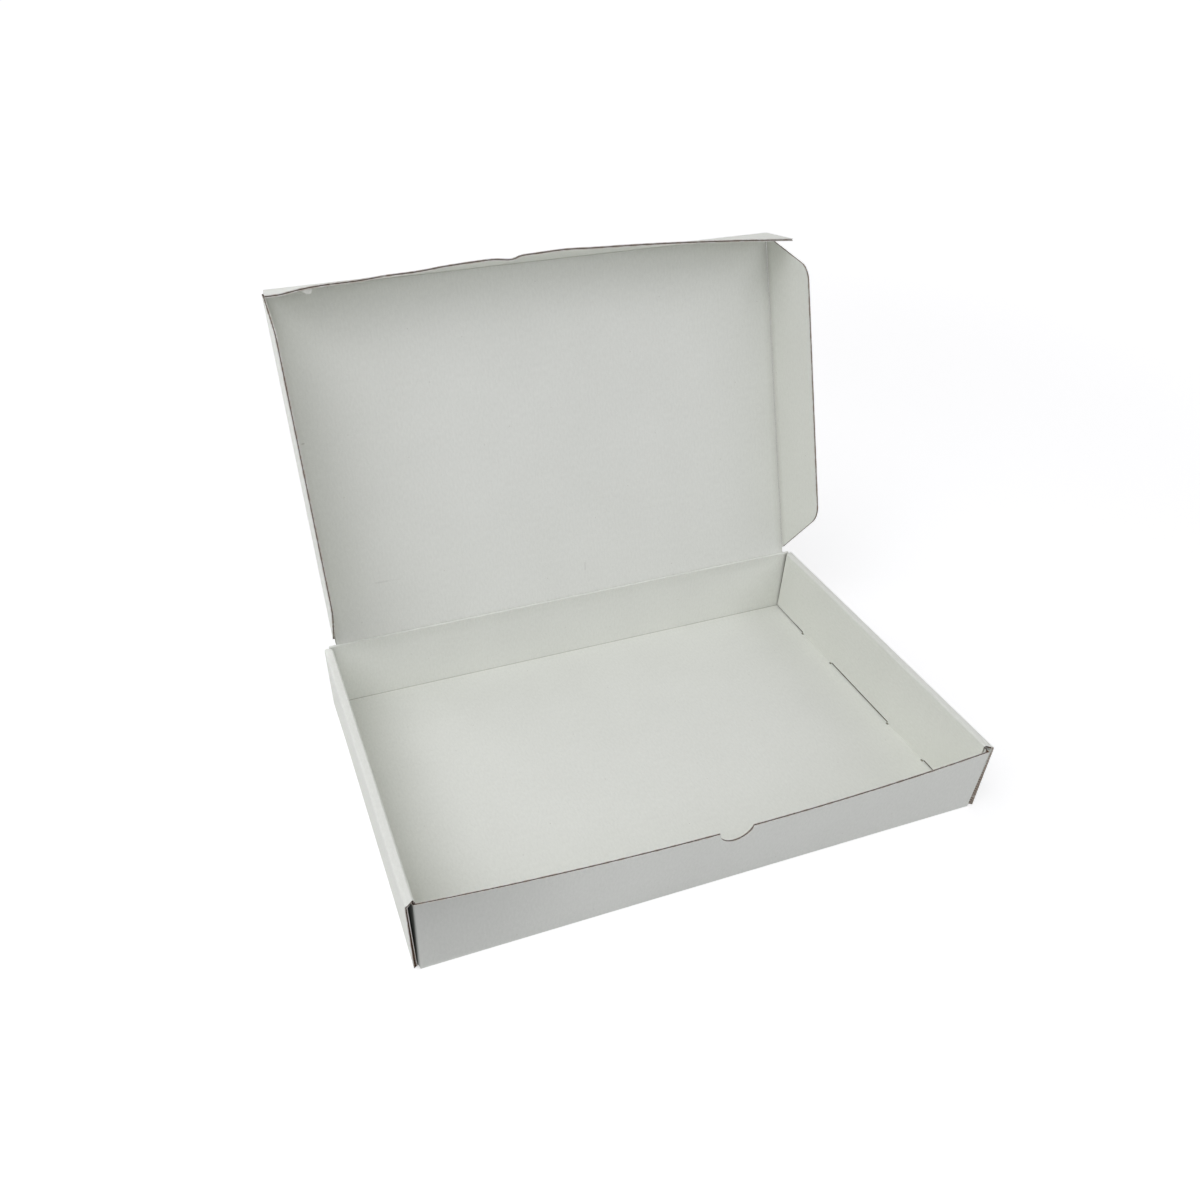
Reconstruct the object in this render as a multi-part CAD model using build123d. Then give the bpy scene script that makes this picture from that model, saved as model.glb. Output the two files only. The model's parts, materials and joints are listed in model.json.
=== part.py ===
from build123d import *
import math
import os

# A white corrugated lunch box, cut from one sheet and folded up: a tray with rolled double side walls, and a
# hinged lid with a tuck flap and two ears. Millimetres, +Z up, the front faces -Y. The origin is at the centre
# of the tray's underside. The lid stands open, as it is left after the box is unpacked.

# Board and folds
board = 1.4                 # thickness of the corrugated board
fold_radius = 1.6           # outside radius of a fold along the floor
corner_radius = 2.2         # outside radius of an upright fold at a corner
spine_radius = 1.7          # outside radius where a side wall rolls over
roll_bulge = 0.1            # how far the board swells at a fold that moves
crease_gap = 0.3            # slit between two panels at a fold that moves
crease_relief = 0.4         # board pressed away on the inside of a fold that moves
overrun = 6.0               # how far cuts run past the board

# Tray
tray_width = 336.0          # over the outer side walls, at the floor
tray_depth = 214.0          # over the front and back walls, at the floor
side_height = 46.2          # top of the side walls and of the back wall
front_height = 43.6         # top of the front wall and of the corner flaps
left_lean = 0.5             # how far the left wall's top stands out
right_lean = 0.1            # how far the right wall's top stands out
back_lean = 1.7             # how far the back wall's top stands out
front_left_lean = -5.0      # the front wall's top at its left end, pushed in
front_right_lean = 0.5      # the front wall's top at its right end
front_bow = 6.8             # how far the front wall's top bulges out in the middle
front_stations = 7          # sections along the bulging front wall
end_inset = 0.3             # side walls' raw ends behind the front and back faces
end_rake = 0.2              # how far in a side wall's raw end is at its top
front_left_rake = 4.0       # the same at the front left corner, pushed in with the front wall

# Rolled side walls: outer ply, corner flap, inner ply
outer_slack = 0.4           # between the outer ply and a corner flap
inner_slack = 0.2           # between a corner flap and the inner ply
inner_setback = 3.0         # how much shorter the inner ply is at each end
foot_gap = 0.8              # between the inner ply's lower edge and the floor
tab_width = 37.0
tab_spacing = 100.8         # between the middles of the two tabs of a side
tab_lift = 0.2              # tab's end above the table
slot_clearance = 0.3        # round a tab in its floor slot
flap_length = 84.0          # corner flap, from the wall it hangs on
flap_corner_cut = 12.0      # cut-off corners at the flap's free end

# Thumb notch
notch_radius = 9.6
notch_rise = 0.6            # centre of the notch above the wall's edge
notch_offset = 4.0          # notch to the right of the middle

# Lid
lid_clearance = 0.3         # between the closed lid and the spines
lid_open_angle = 113.5      # opening at rest, from closed
lid_length = 208.0          # hinge line to tuck fold
lid_half_width = 161.2      # middle to ear fold
hinge_inset = 1.2           # hinge's rolled edge, short of the ear folds

# Ears
ear_width = 43.8
ear_start = 3.0             # ear's lower end above the hinge line
ear_end_gap = 1.2           # ear's upper end below the tuck fold
ear_end_angle = 30.0        # slant of both ends
ear_corner_radius = 12.0
left_ear_angle = 88.8       # fold at rest, 0 in the lid's plane
right_ear_angle = 89.0

# Tuck flap
tuck_depth = 32.5
tuck_side_gap = 0.5         # flap's end from the ear fold, at the tuck fold
tuck_taper = 0.4            # how much further in the flap's end is at its free edge
tuck_middle_angle = 90.3    # fold at rest, 0 in the lid's plane
tuck_left_angle = 101.0
tuck_right_angle = 105.5
tuck_curl_power = 1.6       # how the fold grows from the middle to the ends
tuck_stations = 9           # sections along the bowed flap
tuck_corner_radius = 1.5

# Places that follow from the sizes
half_width = tray_width / 2
half_depth = tray_depth / 2
half_length = half_depth - end_inset
inner_ply_x = half_width - 3 * board - outer_slack - inner_slack
flap_x = inner_ply_x + board + inner_slack
flap_outer_x = flap_x + board
wall_end_x = flap_outer_x - corner_radius
hinge_y = half_depth - board / 2 + back_lean
roll_radius = board / 2 + roll_bulge
hinge_z = side_height + lid_clearance + roll_radius
panel_half_width = lid_half_width - roll_radius - crease_gap
panel_length = lid_length - roll_radius - crease_gap


def closed_face(points):
    """Face inside a closed run of straight edges."""
    return make_face(Polyline(*points, close=True))


def side_roll(lean):
    """Half the floor with the right side wall rolled over it, before its ends are trimmed.

    The path runs along the middle of the board, from the middle of the floor round to the inner ply's foot.
    """
    middle = board / 2
    path = FilletPolyline(
        (0, middle),
        (half_width - middle, middle),
        (half_width - middle + lean, side_height - middle),
        (inner_ply_x + middle, side_height - middle),
        (inner_ply_x + middle, board + foot_gap),
        radius=[fold_radius - middle, spine_radius - middle, spine_radius - middle],
    )
    strip = trace(path, line_width=board)
    return extrude(Plane.XZ * strip, amount=half_length, both=True)


def end_trim(rake):
    """Slanted block that rakes the side wall's end at the front right corner, and sets the inner ply back there."""
    ply_inside = half_width - board
    front = -half_length - overrun - rake
    outline = closed_face([
        (half_width + overrun, front),
        (half_width + overrun, -half_length),
        (ply_inside, -half_length),
        (inner_ply_x, -half_length + inner_setback),
        (inner_ply_x - overrun, -half_length + inner_setback),
        (inner_ply_x - overrun, front),
    ])
    return extrude(Plane.XY.offset(board) * outline, amount=side_height, dir=(0, rake, side_height))


def tab_and_slot(y):
    """Locking tab of the right inner ply, and its slot in the floor, centred at y."""
    reach = board + foot_gap - tab_lift
    at = Pos(inner_ply_x + board / 2, y, tab_lift)
    low = (Align.CENTER, Align.CENTER, Align.MIN)
    tab = at * Box(board, tab_width, reach + board, align=low)
    slot = at * Box(board + 2 * slot_clearance, tab_width + 2 * slot_clearance, 2 * overrun)
    return tab, slot


def side_half(lean, front_rake):
    """Right half of the floor with its rolled, trimmed and locked side wall."""
    half = side_roll(lean) - end_trim(front_rake) - mirror(end_trim(end_rake), Plane.XZ)
    tabs = []
    for y in (-tab_spacing / 2, tab_spacing / 2):
        tab, slot = tab_and_slot(y)
        upper = Pos(0, 0, board + foot_gap) * Box(tray_width, tray_depth, side_height,
                                                  align=(Align.CENTER, Align.CENTER, Align.MIN))
        half = half - (slot - upper)
        tabs.append(tab)
    for tab in tabs:
        half = half + tab
    return half


def wall_section(height, lean):
    """Section of a front wall with a stretch of the floor, in the plane of depth and height."""
    outside = -half_depth
    inside = outside + board
    foot = inside + overrun
    face = closed_face([
        (foot, 0),
        (outside, 0),
        (outside - lean, height),
        (inside - lean, height),
        (inside, board),
        (foot, board),
    ])
    heel = face.vertices().sort_by_distance((outside, 0, 0))[0]
    face = fillet(heel, radius=fold_radius)
    bend = face.vertices().sort_by_distance((inside, board, 0))[0]
    return fillet(bend, radius=fold_radius - board)


def station_plane(x):
    """Upright plane across the box at x, with depth to the right and height up."""
    return Plane(origin=(x, 0, 0), x_dir=(0, 1, 0), z_dir=(1, 0, 0))


def front_lean(x):
    """How far the front wall's top stands out at x: its two ends, and the bulge between them."""
    share = (x / wall_end_x + 1) / 2
    ends = front_left_lean + (front_right_lean - front_left_lean) * share
    return ends + front_bow * (1 - (x / wall_end_x) ** 2)


def corner_flap(lean, wall_height):
    """Upright fold and flap at the right end of a front wall, lying between the plies of the side wall."""
    mid_radius = corner_radius - board / 2
    mid_y = -half_depth + board / 2
    bottom = board + foot_gap
    rise = front_height - bottom
    lean_low = lean * bottom / wall_height
    lean_high = lean * front_height / wall_height
    bend = JernArc(start=(wall_end_x, mid_y - lean_low), tangent=(1, 0), radius=mid_radius, arc_size=90)
    run = Line(bend @ 1, bend @ 1 + Vector(0, flap_length - corner_radius))
    fold = extrude(Pos(0, 0, bottom) * trace(bend, line_width=board), amount=rise,
                   dir=(0, lean_low - lean_high, rise))
    strip = extrude(Pos(0, 0, bottom) * trace(run, line_width=board), amount=rise,
                    dir=(0, lean_low - lean_high, rise))
    end_y = -half_depth + flap_length - abs(lean)
    outline = closed_face([
        (-half_depth - overrun, bottom),
        (end_y - flap_corner_cut, bottom),
        (end_y, bottom + flap_corner_cut),
        (end_y, front_height - flap_corner_cut),
        (end_y - flap_corner_cut, front_height),
        (-half_depth - overrun, front_height),
    ])
    keep = extrude(station_plane(0) * outline, amount=tray_width)
    return (fold + strip) & keep


def front_wall():
    """Front wall, bulging out at the middle of its top edge, with its thumb notch and corner flaps."""
    sections = []
    for index in range(front_stations):
        share = index / (front_stations - 1)
        x = wall_end_x * (2 * share - 1)
        sections.append(station_plane(x) * wall_section(front_height, front_lean(x)))
    wall = loft(sections)
    notch = Pos(notch_offset, -half_depth, front_height + notch_rise) * Rot(90, 0, 0) * Cylinder(
        notch_radius, 2 * front_bow + 2 * overrun)
    right = corner_flap(front_lean(wall_end_x), front_height)
    left = mirror(corner_flap(front_lean(-wall_end_x), front_height), Plane.YZ)
    return wall - notch + right + left


def back_wall():
    """Back wall, leaning back a little, with its corner flaps."""
    section = station_plane(0) * wall_section(side_height, back_lean)
    wall = extrude(section, amount=wall_end_x, both=True)
    right = corner_flap(back_lean, side_height)
    return mirror(wall + right + mirror(right, Plane.YZ), Plane.XZ)


def make_tray():
    """Floor, walls, rolled sides and hidden corner flaps, as one folded sheet."""
    sides = side_half(right_lean, end_rake) + mirror(side_half(left_lean, front_left_rake), Plane.YZ)
    return sides + front_wall() + back_wall()


def lid_plane():
    """Plane of the lid's middle at rest: x across, y from hinge to tuck fold, z out of its inner face."""
    lean = math.radians(lid_open_angle - 90)
    return Plane(origin=(0, hinge_y, hinge_z), x_dir=(1, 0, 0), z_dir=(0, -math.cos(lean), math.sin(lean)))


def rolled_edge(length):
    """Rounded board along a fold that moves, centred on the fold, along x."""
    return Rot(0, 90, 0) * Cylinder(roll_radius, length)


def make_lid():
    """Lid panel in its own plane, with its hinge edge rolled and its other edges relieved for the folds."""
    panel = Pos(0, panel_length / 2, 0) * Box(2 * panel_half_width, panel_length, board)
    inner = panel.faces().sort_by(Axis.Z)[-1]
    folds = inner.edges().sort_by(Axis.Y)[1:]
    panel = chamfer(folds, length=crease_relief)
    return panel + rolled_edge(2 * (panel_half_width - hinge_inset))


def make_ear():
    """Right ear laid flat in the lid's plane, its fold at x of lid_half_width."""
    low = ear_start
    high = lid_length - ear_end_gap
    slant = ear_width * math.tan(math.radians(ear_end_angle))
    outline = closed_face([
        (0, low),
        (ear_width, low + slant),
        (ear_width, high - slant),
        (0, high),
    ])
    corners = outline.vertices().sort_by(Axis.X)[-2:]
    outline = fillet(corners, radius=ear_corner_radius)
    blade = extrude(outline, amount=board / 2, both=True)
    roll = Pos(0, (low + high) / 2, 0) * Rot(0, 0, 90) * rolled_edge(high - low)
    return blade + roll


def folded_ear(angle):
    """Right ear in the lid's frame, folded in by angle about its fold."""
    return Pos(lid_half_width, 0, 0) * Rot(0, -angle, 0) * make_ear()


def tuck_angle(x, half):
    """Fold of the bowed tuck flap at x along the fold: more at both ends than in the middle."""
    side_angle = tuck_left_angle if x < 0 else tuck_right_angle
    return tuck_middle_angle + (side_angle - tuck_middle_angle) * abs(x / half) ** tuck_curl_power


def make_tuck_flap():
    """Tuck flap in the lid's frame, bowed along its length, narrower at its free edge."""
    half = lid_half_width - tuck_side_gap
    sections = []
    for index in range(tuck_stations):
        share = index / (tuck_stations - 1)
        x = half * (2 * share - 1)
        angle = math.radians(tuck_angle(x, half))
        drift = -tuck_taper * x / half
        run = Vector(drift, tuck_depth * math.cos(angle), tuck_depth * math.sin(angle))
        across = Vector(0, -math.sin(angle), math.cos(angle))
        plane = Plane(origin=(x, lid_length, 0), x_dir=run, z_dir=run.cross(across))
        sections.append(plane * Rectangle(run.length, board, align=(Align.MIN, Align.CENTER)))
    blade = loft(sections)
    free = blade.edges().filter_by(lambda edge: edge.length < 2 * board).sort_by(Axis.Z)[-2:]
    blade = fillet(free, radius=tuck_corner_radius)
    roll = Pos(0, lid_length, 0) * rolled_edge(2 * half)
    return blade + roll


placed = lid_plane().location
nodes = {
    "tray": make_tray(),
    "lid": placed * make_lid(),
    "tuck_flap": placed * make_tuck_flap(),
    "left_ear": placed * mirror(folded_ear(left_ear_angle), Plane.YZ),
    "right_ear": placed * folded_ear(right_ear_angle),
}

os.makedirs("parts", exist_ok=True)
for name, solid in nodes.items():
    export_step(solid, f"parts/{name}.step")
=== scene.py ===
import json
import logging
import math
from dataclasses import dataclass
from enum import Enum
from typing import Callable, Iterable, Optional, Sequence, Union

import bmesh
import bpy
from mathutils import Matrix, Vector

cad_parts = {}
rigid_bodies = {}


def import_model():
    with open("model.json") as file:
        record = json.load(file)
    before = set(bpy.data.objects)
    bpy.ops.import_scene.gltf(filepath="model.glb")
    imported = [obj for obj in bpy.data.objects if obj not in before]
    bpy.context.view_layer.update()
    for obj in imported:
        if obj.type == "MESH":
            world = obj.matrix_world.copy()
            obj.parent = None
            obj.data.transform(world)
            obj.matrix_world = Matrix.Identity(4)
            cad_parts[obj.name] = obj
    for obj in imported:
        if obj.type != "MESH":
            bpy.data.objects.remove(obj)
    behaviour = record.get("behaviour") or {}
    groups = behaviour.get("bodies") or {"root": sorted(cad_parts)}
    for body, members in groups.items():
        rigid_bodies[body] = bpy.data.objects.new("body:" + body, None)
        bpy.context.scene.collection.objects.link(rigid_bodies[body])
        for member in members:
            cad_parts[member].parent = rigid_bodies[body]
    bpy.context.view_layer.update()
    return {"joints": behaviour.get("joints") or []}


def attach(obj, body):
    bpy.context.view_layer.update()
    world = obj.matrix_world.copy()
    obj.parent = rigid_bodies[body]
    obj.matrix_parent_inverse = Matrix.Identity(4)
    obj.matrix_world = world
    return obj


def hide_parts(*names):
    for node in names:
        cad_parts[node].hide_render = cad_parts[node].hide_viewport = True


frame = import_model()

LOG = logging.getLogger("lunch_box")
MM = 0.001
NEAR = 0.02 * MM
SHEET_MAP = "sheet"
PLY = "ply"
# Mesh attribute of painted shade: above zero the warm painted shade of creases, gaps and recesses, below zero the cool
# painted shade of a face turned from the light.
PAINTED_SHADE = "crease"
SMOOTH_ANGLE = math.radians(35)
WHITE = (1.0, 1.0, 1.0, 1.0)
BLACK = (0.0, 0.0, 0.0, 1.0)
JOINTS = {joint["name"]: joint for joint in frame["joints"]}

Number = Union[int, float]
Rule = Callable[[Vector], bool]
Part = Union[bmesh.types.BMVert, bmesh.types.BMEdge, bmesh.types.BMFace]


class Face(Enum):
    """Which finish a face of the board carries."""

    LINER = 0
    RAW_EDGE = 1
    FLUTING = 2
    # A lighter copy of the fluting: painted light on the cut that lies open to the light.
    OPEN_FLUTING = 3


class Side(Enum):
    """Left or right of the box, seen from the front."""

    LEFT = -1
    RIGHT = 1


def joint_place(name: str) -> Vector:
    """Place of a joint's axis in the box's frame."""
    return Vector(JOINTS[name]["pos_m"])


def anywhere(place: Vector) -> bool:
    """Rule that every place keeps to."""
    return True


def on_plane(axis: int, place: float) -> Rule:
    """Rule that the places on a plane square to an axis keep to."""
    return lambda p: abs(p[axis] - place) < NEAR


def spaced(low: float, high: float, count: int) -> list[float]:
    """Evenly spaced places strictly between two ends.

    Args:
        low: First end.
        high: Second end.
        count: How many places.

    Returns:
        The places, in order.
    """
    return [low + (high - low) * (index + 1) / (count + 1) for index in range(count)]


def both(*places: float) -> list[float]:
    """Places on both sides of the middle."""
    return [sign * place for place in places for sign in (-1, 1)]


def smooth(low: float, high: float, value: float) -> float:
    """Smooth step of value from 0 at low to 1 at high.

    Args:
        low: Value at which the step starts.
        high: Value at which it ends.
        value: Value to place on the step.

    Returns:
        Height of the step, from 0 to 1.
    """
    share = min(max((value - low) / (high - low), 0.0), 1.0)
    return share * share * (3.0 - 2.0 * share)


class Val:
    """A number in a node tree. Arithmetic on it adds Math nodes."""

    def __init__(self, graph: "Graph", socket: bpy.types.NodeSocket) -> None:
        """Wraps one output socket of a graph."""
        self.graph = graph
        self.socket = socket

    def _math(self, operation: str, *terms: Union["Val", Number]) -> "Val":
        """Adds a Math node.

        Args:
            operation: Blender's name of the operation.
            terms: Values or sockets, in the node's order.

        Returns:
            The node's result.
        """
        return self.graph.node("ShaderNodeMath", {"operation": operation}, dict(enumerate(terms))).value()

    def __add__(self, other: Union["Val", Number]) -> "Val":
        """Sum."""
        return self._math("ADD", self, other)

    __radd__ = __add__

    def __sub__(self, other: Union["Val", Number]) -> "Val":
        """Difference."""
        return self._math("SUBTRACT", self, other)

    def __rsub__(self, other: Number) -> "Val":
        """Difference from a number."""
        return self._math("SUBTRACT", other, self)

    def __mul__(self, other: Union["Val", Number]) -> "Val":
        """Product."""
        return self._math("MULTIPLY", self, other)

    __rmul__ = __mul__

    def __abs__(self) -> "Val":
        """Size without sign."""
        return self._math("ABSOLUTE", self)

    def sine(self) -> "Val":
        """Sine of an angle in radians."""
        return self._math("SINE", self)

    def larger(self, other: Union["Val", Number]) -> "Val":
        """The larger of two values."""
        return self._math("MAXIMUM", self, other)

    def smaller(self, other: Union["Val", Number]) -> "Val":
        """The smaller of two values."""
        return self._math("MINIMUM", self, other)

    def root(self) -> "Val":
        """Square root."""
        return self._math("SQRT", self)

    def step(self, low: Number, high: Number) -> "Val":
        """Smooth step from 0 at low to 1 at high.

        Args:
            low: Value at which the step starts.
            high: Value at which it ends.

        Returns:
            The step's height.
        """
        ends = {"Value": self, "From Min": low, "From Max": high}
        return self.graph.node("ShaderNodeMapRange", {"interpolation_type": "SMOOTHSTEP"}, ends).value()


class Made:
    """A node that has been added to a graph."""

    def __init__(self, graph: "Graph", node: bpy.types.Node) -> None:
        """Keeps the node with its graph."""
        self.graph = graph
        self.node = node

    def out(self, name: Union[str, int] = 0) -> bpy.types.NodeSocket:
        """Output socket by name or place."""
        return self.node.outputs[name]

    def value(self, name: Union[str, int] = 0) -> Val:
        """Output socket as a number that takes arithmetic."""
        return Val(self.graph, self.out(name))


Input = Union[Val, Made, bpy.types.NodeSocket, Number, Sequence[float]]


class Graph:
    """Node tree of one material or world."""

    def __init__(self, tree: bpy.types.NodeTree) -> None:
        """Takes over a tree and empties it."""
        self.tree = tree
        tree.nodes.clear()

    def node(self, kind: str, settings: Optional[dict] = None, inputs: Optional[dict] = None) -> Made:
        """Adds a node.

        Args:
            kind: Blender's type of the node.
            settings: Properties of the node, set first.
            inputs: Values or links of its sockets, by name or place.

        Returns:
            The new node.
        """
        made = self.tree.nodes.new(kind)
        for name, value in (settings or {}).items():
            setattr(made, name, value)
        for name, value in (inputs or {}).items():
            self.feed(made.inputs[name], value)
        return Made(self, made)

    def feed(self, socket: bpy.types.NodeSocket, value: Input) -> None:
        """Sets or links a socket.

        Args:
            socket: Input socket to fill.
            value: A plain value, or what to link to it.
        """
        if isinstance(value, Val):
            self.tree.links.new(value.socket, socket)
        elif isinstance(value, Made):
            self.tree.links.new(value.out(), socket)
        elif isinstance(value, bpy.types.NodeSocket):
            self.tree.links.new(value, socket)
        else:
            socket.default_value = value

    def attribute(self, name: str) -> Val:
        """Number that the mesh carries under a name."""
        return self.node("ShaderNodeAttribute", {"attribute_name": name}).value("Fac")

    def mix(self, share: Input, first: Input, second: Input) -> bpy.types.NodeSocket:
        """Blend of two colours.

        Args:
            share: How much of the second colour.
            first: Colour at 0.
            second: Colour at 1.

        Returns:
            The blended colour's socket.
        """
        blend = self.node("ShaderNodeMix", {"data_type": "RGBA"}, {"Factor": share})
        colours = [socket for socket in blend.node.inputs if socket.type == "RGBA"]
        for socket, value in zip(colours, (first, second)):
            self.feed(socket, value)
        return next(socket for socket in blend.node.outputs if socket.type == "RGBA")


def seen_directly(graph: Graph) -> Val:
    """1 where the camera, a mirror or glass sees a surface, 0 where only light falls on it.

    Args:
        graph: Graph to add the nodes to.

    Returns:
        The test's value.
    """
    path = graph.node("ShaderNodeLightPath")
    direct = path.value("Is Camera Ray").larger(path.value("Is Glossy Ray"))
    return direct.larger(path.value("Is Transmission Ray"))


def new_material(name: str) -> tuple[bpy.types.Material, Graph]:
    """Empty node material.

    Args:
        name: Name of the material.

    Returns:
        The material and its graph.
    """
    material = bpy.data.materials.new(name)
    material.use_nodes = True
    return material, Graph(material.node_tree)


@dataclass(frozen=True)
class Mark:
    """A faint stroke on the paper, between two places on the flat sheet."""

    start: tuple
    end: tuple
    reach: float
    depth: float
    core: float = 0.2

    def mask(self, across: Val, along: Val) -> Val:
        """How strongly the stroke shows.

        Args:
            across: Place across the flutes.
            along: Place along the flutes.

        Returns:
            Strength of the stroke, from 0 to its depth.
        """
        run = (self.end[0] - self.start[0], self.end[1] - self.start[1])
        length = run[0] ** 2 + run[1] ** 2
        share = ((across - self.start[0]) * (run[0] / length) + (along - self.start[1]) * (run[1] / length))
        share = share.larger(0.0).smaller(1.0)
        off_across = across - self.start[0] - share * run[0]
        off_along = along - self.start[1] - share * run[1]
        distance = (off_across * off_across + off_along * off_along).root()
        return (1 - distance.step(self.reach * self.core, self.reach)) * self.depth


@dataclass(frozen=True)
class LinerFinish:
    """White paper face of the board: even, with faint fibres and flutes, a few specks and strokes, and painted shade in
    its creases, gaps and recesses and on faces turned from the light.
    """

    name: str = "white_liner"
    paper: tuple = (0.887, 0.900, 0.846, 1.0)
    shade: tuple = (0.783, 0.795, 0.740, 1.0)
    # Tone of the painted shade, and of the faint strokes on the paper.
    shade_and_mark_tone: tuple = (0.125, 0.112, 0.062, 1.0)
    # Tone of the cool painted shade on faces turned from the light.
    cool_painted_shade_tone: tuple = (0.100, 0.108, 0.098, 1.0)
    speck_tone: tuple = (0.52, 0.50, 0.45, 1.0)
    roughness: float = 0.61
    roughness_spread: float = 0.1
    specular: float = 0.25
    mottle_size: float = 38 * MM
    mottle_detail: float = 2.0
    mottle_share: float = 0.3
    fibre_size: float = 1.3 * MM
    fibre_detail: float = 2.0
    fibre_stretch: float = 2.2
    fibre_share: float = 0.8
    fibre_rise: float = 0.7
    grain_size: float = 0.45 * MM
    grain_detail: float = 1.0
    grain_share: float = 0.9
    grain_rise: float = 0.3
    flute_pitch: float = 2.3 * MM
    flute_rise: float = 0.12
    bump_strength: float = 0.10
    bump_height: float = 0.10 * MM
    speck_spacing: float = 52 * MM
    speck_radius: float = 0.35 * MM
    speck_core: float = 0.5
    speck_depth: float = 0.7
    marks: tuple = (
        Mark((-128.6 * MM, 186.4 * MM), (-121.5 * MM, 186.3 * MM), 0.8 * MM, 0.10),
        Mark((-121.0 * MM, 186.5 * MM), (-113.0 * MM, 186.0 * MM), 0.6 * MM, 0.04),
        Mark((10.8 * MM, 168.8 * MM), (11.2 * MM, 172.9 * MM), 1.0 * MM, 0.10),
        Mark((-156.4 * MM, 276.1 * MM), (-155.2 * MM, 276.1 * MM), 0.5 * MM, 0.35),
    )

    def material(self) -> bpy.types.Material:
        """Builds the node material.

        Returns:
            The finished material.
        """
        material, graph = new_material(self.name)
        sheet = graph.node("ShaderNodeUVMap", {"uv_map": SHEET_MAP})
        places = graph.node("ShaderNodeSeparateXYZ", None, {0: sheet})
        across, along = places.value("X"), places.value("Y")
        mottle = self._spread(graph, sheet, self.mottle_size, self.mottle_detail)
        fibres = self._spread(graph, sheet, self.fibre_size, self.fibre_detail, self.fibre_stretch)
        grain = self._spread(graph, sheet, self.grain_size, self.grain_detail)
        middle = (self.mottle_share + self.fibre_share + self.grain_share - 1) / 2
        specks = graph.node("ShaderNodeTexVoronoi", {"voronoi_dimensions": "2D"}, {
            "Vector": sheet, "Scale": 1 / self.speck_spacing}).value("Distance")
        speck_share = self.speck_radius / self.speck_spacing
        flutes = (across * (2 * math.pi / self.flute_pitch)).sine()
        spread = mottle * self.mottle_share + fibres * self.fibre_share + grain * self.grain_share - middle
        tone = graph.mix(spread, self.paper, self.shade)
        speck = (1 - specks.step(speck_share * self.speck_core, speck_share)) * self.speck_depth
        tone = graph.mix(speck, tone, self.speck_tone)
        for mark in self.marks:
            tone = graph.mix(mark.mask(across, along), tone, self.shade_and_mark_tone)
        # Painted shade from the mesh: towards the warm tone above zero, towards the cool tone below zero.
        depth = graph.attribute(PAINTED_SHADE)
        tone = graph.mix(depth, tone, self.shade_and_mark_tone)
        tone = graph.mix(depth * -1, tone, self.cool_painted_shade_tone)
        height = fibres * self.fibre_rise + grain * self.grain_rise + flutes * self.flute_rise
        bump = graph.node("ShaderNodeBump", None, {
            "Strength": self.bump_strength, "Distance": self.bump_height, "Height": height})
        shader = graph.node("ShaderNodeBsdfPrincipled", None, {
            "Base Color": tone, "Roughness": fibres * self.roughness_spread + self.roughness, "Normal": bump,
            "Specular IOR Level": self.specular})
        graph.node("ShaderNodeOutputMaterial", None, {"Surface": shader})
        return material

    @staticmethod
    def _spread(graph: Graph, sheet: Made, size: float, detail: float, stretch: float = 1.0) -> Val:
        """Noise over the sheet.

        Args:
            graph: Graph to add it to.
            sheet: Places on the flat sheet.
            size: Width of its patches.
            detail: Octaves.
            stretch: How much longer than wide the patches are.

        Returns:
            Noise from 0 to 1.
        """
        scaled = graph.node("ShaderNodeVectorMath", {"operation": "MULTIPLY"},
                            {0: sheet, 1: (1 / size, 1 / (size * stretch), 1.0)})
        return graph.node("ShaderNodeTexNoise", {"noise_dimensions": "2D"},
                          {"Vector": scaled, "Scale": 1.0, "Detail": detail}).value()


@dataclass(frozen=True)
class CutLinerFinish:
    """Cut edges of the two white liners: pale, with a little brown dust."""

    name: str = "cut_liner"
    pale: tuple = (0.74, 0.728, 0.69, 1.0)
    dusty: tuple = (0.55, 0.50, 0.44, 1.0)
    dust_size: float = 4.0 * MM
    dust_detail: float = 4.0
    dust_ends: tuple = (0.35, 0.65)
    roughness: float = 0.82
    roughness_spread: float = 0.1
    specular: float = 0.15

    def material(self) -> bpy.types.Material:
        """Builds the node material.

        Returns:
            The finished material.
        """
        material, graph = new_material(self.name)
        place = graph.node("ShaderNodeTexCoord").out("Object")
        dust = graph.node("ShaderNodeTexNoise", None, {
            "Vector": place, "Scale": 1 / self.dust_size, "Detail": self.dust_detail}).value()
        tone = graph.mix(dust.step(*self.dust_ends), self.pale, self.dusty)
        shader = graph.node("ShaderNodeBsdfPrincipled", None, {
            "Base Color": tone, "Roughness": dust * self.roughness_spread + self.roughness,
            "Specular IOR Level": self.specular})
        graph.node("ShaderNodeOutputMaterial", None, {"Surface": shader})
        return material


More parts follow.
